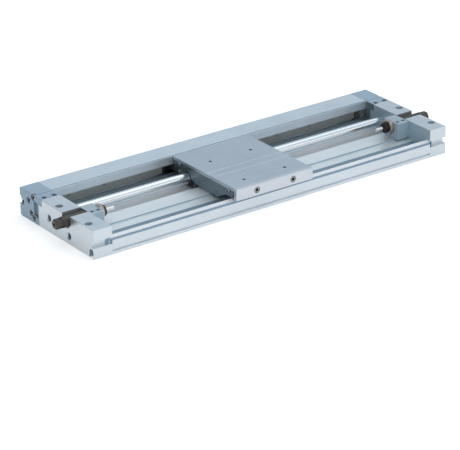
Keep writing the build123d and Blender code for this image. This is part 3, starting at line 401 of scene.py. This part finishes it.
# Painted light and shade on bands of faces, and edges moved up or down, for each kind of piece
shapeRules = {
    "base_extrusion": [
        shadeBand("switch", depth=(0.3, 6.0), height=(20.1, 25.1)),     # inside the switch slot
        shadeBand("slot", depth=(37.9, 38.1), height=(5.1, 13.9)),      # rear wall of the channel
        shadeBand("slot", depth=(55.9, 56.1), height=(14.1, 15.9)),     # step between shelf and bed
        shadeBand("cover", depth=(147.4, 151.1), height=(5.1, 16.1)),   # ridge behind the tube
        shadeBand("bright", depth=(88.1, 147.4), height=(4.9, 5.1)),    # trough floor
        shadeBand("bright", depth=(0.5, 6.4), height=(25.9, 26.1)),     # top of the front wall
        shadeBand("bed", depth=(55.8, 88.3), height=(15.9, 16.1)),
        shadeBand("bed", depth=(37.8, 56.3), height=(13.9, 14.1)),      # shelf
        slideEdge(depth=0.0, height=26.0, shift=-1.4),                  # the wall's top slopes
        slideEdge(depth=0.0, height=20.8, shift=-0.4),                  # lower lip of the slot
    ],
    "top_cover": [shadeBand("cover", depth=(148.8, 150.2), height=(40.8, 41.95))],
    "rail_stop": [shadeBand("stop", depth=(0.0, 200.0), height=(0.0, 50.0))],
    "end_cover": [
        shadeInner("cover"),
        shadeBand("slot", depth=(146.8, 148.2), height=(40.8, 41.95)),
    ],
    "absorber_bracket": [shadeInner("inner"), shadeFront("inner")],
    "end_block": [
        shadeBores("bore", radius=0.0058),
        shadeHole("slot", depth=111.5, height=21.0, radius=4.6),        # tube port
        shadeHole("slot", depth=62.0, height=12.0, radius=4.6),         # low port
        shadeInner("inner"),
        shadeBand("slot", depth=(0.3, 9.2), height=(15.7, 25.5), reach=pocketReach),
        shadeBand("slot", depth=(2.1, 12.1), height=(0.5, 13.2)),       # toe slot
    ],
    "table_plate": [                                                    # the two lines on top
        slideEdge(depth=49.2, height=42.6, shift=0.39),
        slideEdge(depth=65.9, height=42.6, shift=0.39),
    ],
}

# How far the edges of each piece are eased, in metres
easedWidths = {
    "base_extrusion": 0.0002,
    "top_cover": 0.0003,
    "end_block": 0.0003,
    "end_cover": 0.0003,
    "absorber_bracket": 0.0003,
    "table_plate": 0.0003,
    "side_plate": 0.0004,
    "end_plate": 0.0002,
    "absorber_locknut": 0.0,
    "absorber_rod": 0.0,
    "cylinder_tube": 0.0,
    "guide_rail": 0.0001,
    "magnet_housing": 0.0002,
    "carriage": 0.0002,
    "rail_stop": 0.0,
}
for stem, width in easedWidths.items():
    for name in (stem, "left_" + stem, "right_" + stem):
        if name in nodes:
            easeEdges(stem, name, width)
print("stage: eased castings, plates and tube")


# Geometry Nodes trees: sockets by name, modifier inputs set by the sockets' identifiers
class Growth:
    def __init__(self, name, inputs):
        self.tree = bpy.data.node_groups.new(name, "GeometryNodeTree")
        self.tree.interface.new_socket("Geometry", in_out="INPUT", socket_type="NodeSocketGeometry")
        for label, kind in inputs.items():
            self.tree.interface.new_socket(label, in_out="INPUT", socket_type="NodeSocket" + kind)
        self.tree.interface.new_socket("Geometry", in_out="OUTPUT", socket_type="NodeSocketGeometry")
        self.start = self.tree.nodes.new("NodeGroupInput")
        self.end = self.tree.nodes.new("NodeGroupOutput")

    def add(self, kind, **links):
        node = self.tree.nodes.new(kind)
        for key, value in links.items():
            socket = node.inputs[key.replace("_", " ")]
            if isinstance(value, bpy.types.NodeSocket):
                self.tree.links.new(value, socket)
            else:
                socket.default_value = value
        return node

    def finish(self, geometry, metal):
        whole = self.add("GeometryNodeRealizeInstances", Geometry=geometry)
        coloured = self.add("GeometryNodeSetMaterial", Geometry=whole.outputs[0], Material=metal)
        self.tree.links.new(coloured.outputs[0], self.end.inputs[0])

    # Runs the tree on a mesh and gives the result as a plain mesh
    def grow(self, mesh, values):
        holder = newPiece("holder", mesh)
        modifier = holder.modifiers.new("growth", "NODES")
        modifier.node_group = self.tree
        for item in self.tree.interface.items_tree:
            if item.item_type == "SOCKET" and item.in_out == "INPUT" and item.name in values:
                modifier[item.identifier] = values[item.name]
        evaluated = holder.evaluated_get(bpy.context.evaluated_depsgraph_get())
        result = bpy.data.meshes.new_from_object(evaluated)
        holder.modifiers.clear()
        bpy.data.objects.remove(holder)
        return result


# Sets a screw on each point, pointing along the point's heading and turned by chance
def makeScrewTree():
    inputs = {"Screw": "Object", "Metal": "Material", "Socket Metal": "Material", "Turn Seed": "Int"}
    tree = Growth("setScrews", inputs)
    start = tree.start.outputs
    heading = tree.add("GeometryNodeInputNamedAttribute", Name="heading")
    heading.data_type = "FLOAT_VECTOR"
    aim = tree.add("FunctionNodeAlignRotationToVector", Vector=heading.outputs["Attribute"])
    aim.axis = "Z"
    chance = tree.add("FunctionNodeRandomValue", Seed=start["Turn Seed"])
    chance.data_type = "FLOAT"
    chance.inputs[3].default_value = math.tau
    spin = tree.add("FunctionNodeAxisAngleToRotation", Angle=chance.outputs[1])
    turned = tree.add("FunctionNodeRotateRotation", Rotation=aim.outputs[0], Rotate_By=spin.outputs[0])
    turned.rotation_space = "LOCAL"
    screw = tree.add("GeometryNodeObjectInfo", Object=start["Screw"])
    placed = tree.add(
        "GeometryNodeInstanceOnPoints", Points=start["Geometry"], Instance=screw.outputs["Geometry"],
        Rotation=turned.outputs[0],
    )
    whole = tree.add("GeometryNodeRealizeInstances", Geometry=placed.outputs[0])
    bright = tree.add("GeometryNodeSetMaterial", Geometry=whole.outputs[0], Material=start["Metal"])
    inside = tree.add("GeometryNodeInputNamedAttribute", Name="inside")
    inside.data_type = "BOOLEAN"
    dark = tree.add(
        "GeometryNodeSetMaterial", Geometry=bright.outputs[0], Selection=inside.outputs["Attribute"],
        Material=start["Socket Metal"],
    )
    tree.tree.links.new(dark.outputs[0], tree.end.inputs[0])
    return tree


# Winds a ridge into a helix along +Z, for threads
def makeThreadTree():
    tree = Growth("windThread", {
        "Ridge Radius": "Float", "Ridge Height": "Float", "Root Width": "Float", "Crest Width": "Float",
        "Turns": "Float", "Length": "Float", "Facing": "Float", "Steps": "Int", "Metal": "Material",
    })
    start = tree.start.outputs
    helix = tree.add(
        "GeometryNodeCurveSpiral", Resolution=start["Steps"], Rotations=start["Turns"],
        Start_Radius=start["Ridge Radius"], End_Radius=start["Ridge Radius"], Height=start["Length"],
    )
    upright = tree.add("GeometryNodeSetCurveNormal", Curve=helix.outputs[0])
    upright.mode = "Z_UP"
    section = tree.tree.nodes.new("GeometryNodeCurvePrimitiveQuadrilateral")
    section.mode = "TRAPEZOID"
    sides = {"Bottom Width": "Root Width", "Top Width": "Crest Width", "Height": "Ridge Height"}
    for label, source in sides.items():
        tree.tree.links.new(start[source], section.inputs[label])
    section.inputs["Offset"].default_value = 0.0
    lean = tree.add("ShaderNodeCombineXYZ", Z=start["Facing"])
    aimed = tree.add("GeometryNodeTransform", Geometry=section.outputs[0], Rotation=lean.outputs[0])
    ridge = tree.add("GeometryNodeCurveToMesh", Curve=upright.outputs[0], Profile_Curve=aimed.outputs[0])
    ridge.inputs["Fill Caps"].default_value = True
    tree.finish(ridge.outputs[0], start["Metal"])
    return tree


screwTree = makeScrewTree()
threadTree = makeThreadTree()


# One socket head screw, head face at the origin and shank along -Z
def makeScrewMesh(head, headHeight, shank, length):
    shape = {
        "steps": 48,
        "rim": 0.07,          # shares of the head's width
        "rimMiddle": 0.3,     # share of the rim
        "flats": 0.5,
        "mouth": 0.54,
        "drillPoint": 0.08,
        "socketDepth": 0.55,  # share of the head's height
        "point": 0.12,        # share of the shank's width
        "sharpAngle": 30,
    }
    steps = shape["steps"]
    rim = head * shape["rim"]
    soft = rim * shape["rimMiddle"]
    tip = shank * shape["point"]
    profile = [
        (head / 2 - rim, 0.0), (head / 2 - soft, -soft), (head / 2, -rim),
        (head / 2, -headHeight), (shank / 2, -headHeight),
        (shank / 2, -length + tip), (shank / 2 - tip, -length),
    ]
    work = bmesh.new()
    turns = [math.tau * i / steps for i in range(steps)]
    rings = [
        [work.verts.new((radius * math.cos(turn), radius * math.sin(turn), z)) for turn in turns]
        for radius, z in profile
    ]
    for upper, lower in zip(rings, rings[1:]):
        for i in range(steps):
            j = (i + 1) % steps
            work.faces.new((upper[i], lower[i], lower[j], upper[j]))
    work.faces.new(reversed(rings[-1]))
    depth = headHeight * shape["socketDepth"]
    slope = head * (shape["mouth"] - shape["flats"]) / 2
    sides = [math.pi / 3 * i for i in range(6)]
    hexagons = []
    for across, z in ((shape["mouth"], 0.0), (shape["flats"], -slope), (shape["flats"], -depth)):
        corner = head * across / 2 / math.cos(math.pi / 6)
        places = [(corner * math.cos(turn), corner * math.sin(turn), z) for turn in sides]
        hexagons.append([work.verts.new(place) for place in places])
    sector = steps // 6
    inside = work.faces.layers.bool.new("inside")
    for i in range(6):
        j = (i + 1) % 6
        outer = [rings[0][(i * sector + k) % steps] for k in range(sector + 1)]
        work.faces.new(outer + [hexagons[0][j], hexagons[0][i]])
        for upper, lower in zip(hexagons, hexagons[1:]):
            work.faces.new((upper[i], upper[j], lower[j], lower[i]))[inside] = True
    bottom = work.verts.new((0, 0, -depth - head * shape["drillPoint"]))
    for i in range(6):
        work.faces.new((hexagons[2][i], hexagons[2][(i + 1) % 6], bottom))[inside] = True
    bmesh.ops.recalc_face_normals(work, faces=work.faces)
    for edge in work.edges:
        edge.smooth = edge.calc_face_angle(0) < math.radians(shape["sharpAngle"])
    for face in work.faces:
        face.smooth = True
    return meshOf("screw", work)


# Box of each separate solid in a CAD node
def solidBoxes(name):
    work = bmesh.new()
    work.from_mesh(nodes[name].data)
    bmesh.ops.remove_doubles(work, verts=work.verts, dist=weldDistance)
    left = set(work.verts)
    boxes = []
    while left:
        waiting = [left.pop()]
        points = []
        while waiting:
            vertex = waiting.pop()
            points.append(vertex.co.copy())
            for edge in vertex.link_edges:
                other = edge.other_vert(vertex)
                if other in left:
                    left.remove(other)
                    waiting.append(other)
        low = Vector([min(p[axis] for p in points) for axis in range(3)])
        high = Vector([max(p[axis] for p in points) for axis in range(3)])
        boxes.append((low, high))
    work.free()
    return boxes


# Each kind of screw: the way its head faces, the head's height and the shank's width
screwKinds = {
    "cover_screws": dict(ends={"left": (-1, 0, 0), "right": (1, 0, 0)}, headHeight=0.004, shank=0.004),
    "tongue_screws": dict(ends={"left": (0, 0, 1), "right": (0, 0, 1)}, headHeight=0.004, shank=0.004),
    "bracket_screws": dict(ends={"left": (0, 0, 1), "right": (0, 0, 1)}, headHeight=0.0026, shank=0.003),
    "plate_screws": dict(ends={"left": (-1, 0, 0), "right": (1, 0, 0)}, headHeight=0.0024, shank=0.003),
    "side_plate_screws": dict(ends={"": (0, -1, 0)}, headHeight=0.0043, shank=0.005),
    "rail_screws": dict(ends={"": (0, -1, 0)}, headHeight=0.003, shank=0.003),
    "arm_screws": dict(ends={"": (0, 0, -1)}, headHeight=0.004, shank=0.004),
    "carriage_screws": dict(ends={"": (0, -1, 0)}, headHeight=0.004, shank=0.004),
}


# All screws of one body and one finish become one mesh that replaces their CAD nodes
def makeScrews():
    sizeDigits = 5   # screws that agree to this many digits of a metre share one mesh
    gathered = {}
    for kind, look in screwKinds.items():
        for end, heading in look["ends"].items():
            name = f"{end}_{kind}" if end else kind
            facing = Vector(heading)
            axis = max(range(3), key=lambda i: abs(facing[i]))
            across = (axis + 1) % 3
            for low, high in solidBoxes(name):
                centre = (low + high) / 2
                centre[axis] = high[axis] if facing[axis] > 0 else low[axis]
                head = round(high[across] - low[across], sizeDigits)
                length = round(high[axis] - low[axis], sizeDigits)
                size = (head, look["headHeight"], look["shank"], length)
                key = (nodes[name]["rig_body"], slotOf[name])
                rows = gathered.setdefault(key, {"names": set(), "sizes": {}})
                rows["names"].add(name)
                rows["sizes"].setdefault(size, []).append((centre, facing))
    for seed, ((body, slot), rows) in enumerate(gathered.items()):
        work = bmesh.new()
        inside = materials[slot] if slot == "rail_steel" else socketShade
        for size, places in rows["sizes"].items():
            screw = newPiece("screw", makeScrewMesh(*size))
            points = bpy.data.meshes.new("points")
            points.from_pydata([centre for centre, _ in places], [], [])
            headings = points.attributes.new("heading", "FLOAT_VECTOR", "POINT")
            for i, (_, facing) in enumerate(places):
                headings.data[i].vector = facing
            values = {"Screw": screw, "Metal": materials[slot], "Socket Metal": inside, "Turn Seed": seed}
            mesh = screwTree.grow(points, values)
            for face in mesh.polygons:
                face.material_index = int(mesh.materials[face.material_index] == socketShade)
            work.from_mesh(mesh)
            bpy.data.objects.remove(screw)
        name = f"{body}_{slot}_screws"
        whole = meshOf(name, work, [materials[slot], socketShade])
        finishPiece(newPiece(name, whole), body, sorted(rows["names"]))


makeScrews()
print("stage: screws")


# A thread's ridge as a mesh, laid from a place along a heading; inward ridges line a hole
def threadMesh(place, heading, thread, slot, inward=False):
    cut = {"root": 0.94, "crest": 0.14, "sink": 0.04, "steps": 40}   # shares of pitch and height
    radius, height, pitch = thread["radius"], thread["height"], thread["pitch"]
    sink = height * cut["sink"]
    middle = radius - height / 2 + sink if inward else radius + height / 2 - sink
    length = thread["length"] - pitch
    values = {
        "Ridge Radius": middle,
        "Ridge Height": height,
        "Root Width": pitch * cut["root"],
        "Crest Width": pitch * cut["crest"],
        "Turns": length / pitch,
        "Length": length,
        "Facing": math.pi / 2 if inward else -math.pi / 2,
        "Steps": cut["steps"],
        "Metal": materials[slot],
    }
    mesh = threadTree.grow(bpy.data.meshes.new("empty"), values)
    aim = Vector(heading).to_track_quat("Z", "Y").to_matrix().to_4x4()
    mesh.transform(Matrix.Translation(Vector(place) + Vector(heading) * pitch / 2) @ aim)
    for face in mesh.polygons:
        face.use_smooth = False
        face.material_index = 0
    return mesh


# The shock absorber bodies: the CAD body turned down to the thread's root, and the ridge on it
def makeAbsorbers():
    absorber = {
        "pitch": 0.001,
        "height": 0.00055,
        "hexagon": 0.0095,     # length of the hexagon at the outer end
        "runOut": 0.0015,      # bare shank before the hexagon
        "endBevel": 0.0008,
        "tolerance": 1e-5,
    }
    slot = "blackened_steel"
    for side, outward in (("left", -1), ("right", 1)):
        name = f"{side}_absorber_body"
        low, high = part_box(name)
        innerX, outerX = (high.x, low.x) if side == "left" else (low.x, high.x)
        axisY = (low.y + high.y) / 2
        axisZ = (low.z + high.z) / 2
        root = (high.y - low.y) / 2 - absorber["height"]
        hexagonEnd = outerX - outward * absorber["hexagon"]
        work = weldedCopy(name)
        for vertex in work.verts:
            reach = math.hypot(vertex.co.y - axisY, vertex.co.z - axisZ)
            if reach > root and (vertex.co.x - hexagonEnd) * outward < absorber["tolerance"]:
                vertex.co.y = axisY + (vertex.co.y - axisY) * root / reach
                vertex.co.z = axisZ + (vertex.co.z - axisZ) * root / reach
        thread = {
            "radius": root,
            "height": absorber["height"],
            "pitch": absorber["pitch"],
            "length": abs(hexagonEnd - innerX) - absorber["runOut"] - absorber["endBevel"],
        }
        start = (innerX + outward * absorber["endBevel"], axisY, axisZ)
        work.from_mesh(threadMesh(start, (outward, 0, 0), thread, slot))
        # The nose that stands out of the bracket is darker than the rest
        noseEnd = min(abs(corner.x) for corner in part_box(f"{side}_absorber_bracket"))
        for face in work.faces:
            face.material_index = int(face.calc_center_median().x * outward < noseEnd)
        mesh = meshOf(f"{side}_absorber_thread", work, [materials[slot], socketShade])
        finishPiece(newPiece(f"{side}_absorber_thread", mesh), "base", [name])


makeAbsorbers()
print("stage: shock absorbers")


# The threads in the holes of one kind, as one mesh; each hole is its mouth and the way out of it
def lineHoles(name, body, slot, thread, holes):
    work = bmesh.new()
    for mouth, outward in holes:
        start = Vector(mouth) - Vector(outward) * (thread["sink"] + thread["length"])
        work.from_mesh(threadMesh(start, outward, thread, slot, inward=True))
    finishPiece(newPiece(name, meshOf(name, work, [materials[slot]])), body, [])


# Threads in the ports and in the table's holes, at the places of the record's mounts
def makeHoleThreads():
    portThread = dict(radius=0.0044, height=0.0004, pitch=0.000907, length=0.0095, sink=0.0018)
    ports = []
    for side, outward in (("left", -1), ("right", 1)):
        low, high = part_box(f"{side}_end_block")
        faceX = low.x if side == "left" else high.x
        for kind in ("tube", "low"):
            _, y, z = mounts[f"{side}_{kind}_port"]["pos_m"]
            ports.append(((faceX, y, z), (outward, 0, 0)))
    lineHoles("port_threads", "base", "block_aluminium", portThread, ports)

    tableThread = dict(radius=0.0025, height=0.0003, pitch=0.001, length=0.006, sink=0.0006)
    pattern = mounts["table_holes"]
    x, y, _ = pattern["pos_m"]
    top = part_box("table_plate")[1].z
    stepX = pattern["dims"]["spacing_x_mm"] / 2000
    stepY = pattern["dims"]["spacing_y_mm"] / 2000
    spots = [(-stepX, -stepY), (stepX, -stepY), (-stepX, stepY), (stepX, stepY)]
    mouths = [((x + right, y + back, top), (0, 0, 1)) for right, back in spots]
    lineHoles("table_threads", "table", "table_aluminium", tableThread, mouths)


makeHoleThreads()
print("stage: threads in ports and table holes")


# A pale floor that looks white to the camera and partly so in the metal, and keeps its shadow
def makeFloor():
    floor = {
        "size": 12.0,
        "colour": (0.86, 0.84, 0.82, 1.0),
        "glow": 0.50,
        "mirrored": 0.55,    # share of the glow that shows in the metal
    }
    size = floor["size"]
    mesh = bpy.data.meshes.new("floor")
    corners = [(-size, -size, 0), (size, -size, 0), (size, size, 0), (-size, size, 0)]
    mesh.from_pydata(corners, [], [(0, 1, 2, 3)])
    newPiece("floor", mesh)
    shader = Shader(bpy.data.materials.new("pale_floor"))
    paint = shader.add("BsdfDiffuse", Color=floor["colour"]).outputs["BSDF"]
    glow = shader.add("Emission", Strength=floor["glow"]).outputs["Emission"]
    rays = shader.add("LightPath").outputs
    mirrored = shader.combine("MULTIPLY", rays["Is Glossy Ray"], floor["mirrored"])
    seen = shader.combine("MAXIMUM", rays["Is Camera Ray"], mirrored)
    seen = shader.combine("MAXIMUM", seen, rays["Is Transmission Ray"])
    both = shader.add("AddShader")
    shader.join(paint, both.inputs[0])
    shader.join(glow, both.inputs[1])
    choice = shader.add("MixShader")
    shader.join(seen, choice.inputs["Fac"])
    shader.join(paint, choice.inputs[1])
    shader.join(both.outputs["Shader"], choice.inputs[2])
    shader.join(choice.outputs["Shader"], shader.output.inputs["Surface"])
    mesh.materials.append(shader.owner)


# A sky that is white low down and blue grey above and fades to the left, with a long white
# panel up in front that shows on the tube; the camera itself sees plain white
def makeSky():
    room = {
        "white": (1.0, 1.0, 1.0, 1.0),
        "colours": [             # heights on the unit sphere, and colours
            (0.12, (1.0, 1.0, 1.0, 1.0)),
            (0.28, (0.46, 0.54, 0.61, 1.0)),
            (0.60, (0.42, 0.50, 0.57, 1.0)),
            (0.76, (0.60, 0.68, 0.76, 1.0)),
        ],
        "dimSide": (-0.7, 0.0),  # where the fading ends and starts, along X on the unit sphere
        "dimShare": 0.35,
        "panelRise": 42.0,       # degrees above the floor
        "panelEdges": (0.962, 0.990),   # cosines from its middle where it starts and is full
    }
    world = bpy.data.worlds.new("room")
    bpy.context.scene.world = world
    sky = Shader(world, "OutputWorld")
    place = sky.add("TexCoord").outputs["Generated"]
    split = sky.add("SeparateXYZ")
    sky.join(place, split.inputs[0])
    blend = sky.add("ValToRGB")
    stops = blend.color_ramp.elements
    while len(stops) < len(room["colours"]):
        stops.new(0.5)
    for stop, (height, colour) in zip(stops, room["colours"]):
        stop.position = height
        stop.color = colour
    sky.join(split.outputs["Z"], blend.inputs["Fac"])

    rise = math.radians(room["panelRise"])
    panelHeading = (0.0, -math.cos(rise), math.sin(rise))
    acrossX = sky.add("VectorMath")
    acrossX.operation = "MULTIPLY"
    acrossX.inputs[1].default_value = (0.0, 1.0, 1.0)
    sky.join(place, acrossX.inputs[0])
    unit = sky.add("VectorMath")
    unit.operation = "NORMALIZE"
    sky.join(acrossX.outputs["Vector"], unit.inputs[0])
    nearness = sky.add("VectorMath")
    nearness.operation = "DOT_PRODUCT"
    nearness.inputs[1].default_value = panelHeading
    sky.join(unit.outputs["Vector"], nearness.inputs[0])
    panel = sky.remap(nearness.outputs["Value"], *room["panelEdges"])
    lit = sky.add("MixRGB", Color2=room["white"])
    sky.join(panel, lit.inputs["Fac"])
    sky.join(blend.outputs["Color"], lit.inputs["Color1"])

    glow = sky.add("Background")
    sky.join(lit.outputs["Color"], glow.inputs["Color"])
    dimmed = sky.remap(split.outputs["X"], *room["dimSide"], room["dimShare"], 1.0)
    sky.join(dimmed, glow.inputs["Strength"])
    white = sky.add("Background", Color=room["white"])
    choice = sky.add("MixShader")
    sky.join(sky.add("LightPath").outputs["Is Camera Ray"], choice.inputs["Fac"])
    sky.join(glow.outputs["Background"], choice.inputs[1])
    sky.join(white.outputs["Background"], choice.inputs[2])
    sky.join(choice.outputs["Shader"], sky.output.inputs["Surface"])


# Soft panels in front, at the left and above, all turned to the unit
def makeLamps():
    lamps = {
        "front_panel": dict(place=(-0.6, -2.2, 0.45), size=1.4, power=7.0, colour=(1.0, 0.99, 0.97)),
        "left_panel": dict(place=(-2.2, -0.3, 0.45), size=1.2, power=0.8, colour=(1.0, 0.99, 0.97)),
        "top_panel": dict(place=(0.4, 0.6, 2.6), size=3.0, power=17.0, colour=(0.97, 0.99, 1.0)),
    }
    for name, lamp in lamps.items():
        data = bpy.data.lights.new(name, "AREA")
        data.size = lamp["size"]
        data.energy = lamp["power"]
        data.color = lamp["colour"]
        holder = newPiece(name, data)
        holder.location = lamp["place"]
        holder.rotation_euler = (unitCentre - holder.location).to_track_quat("-Z", "Y").to_euler()


makeFloor()
makeSky()
makeLamps()
bpy.context.scene.view_settings.view_transform = "Standard"
print("stage: room and lamps")
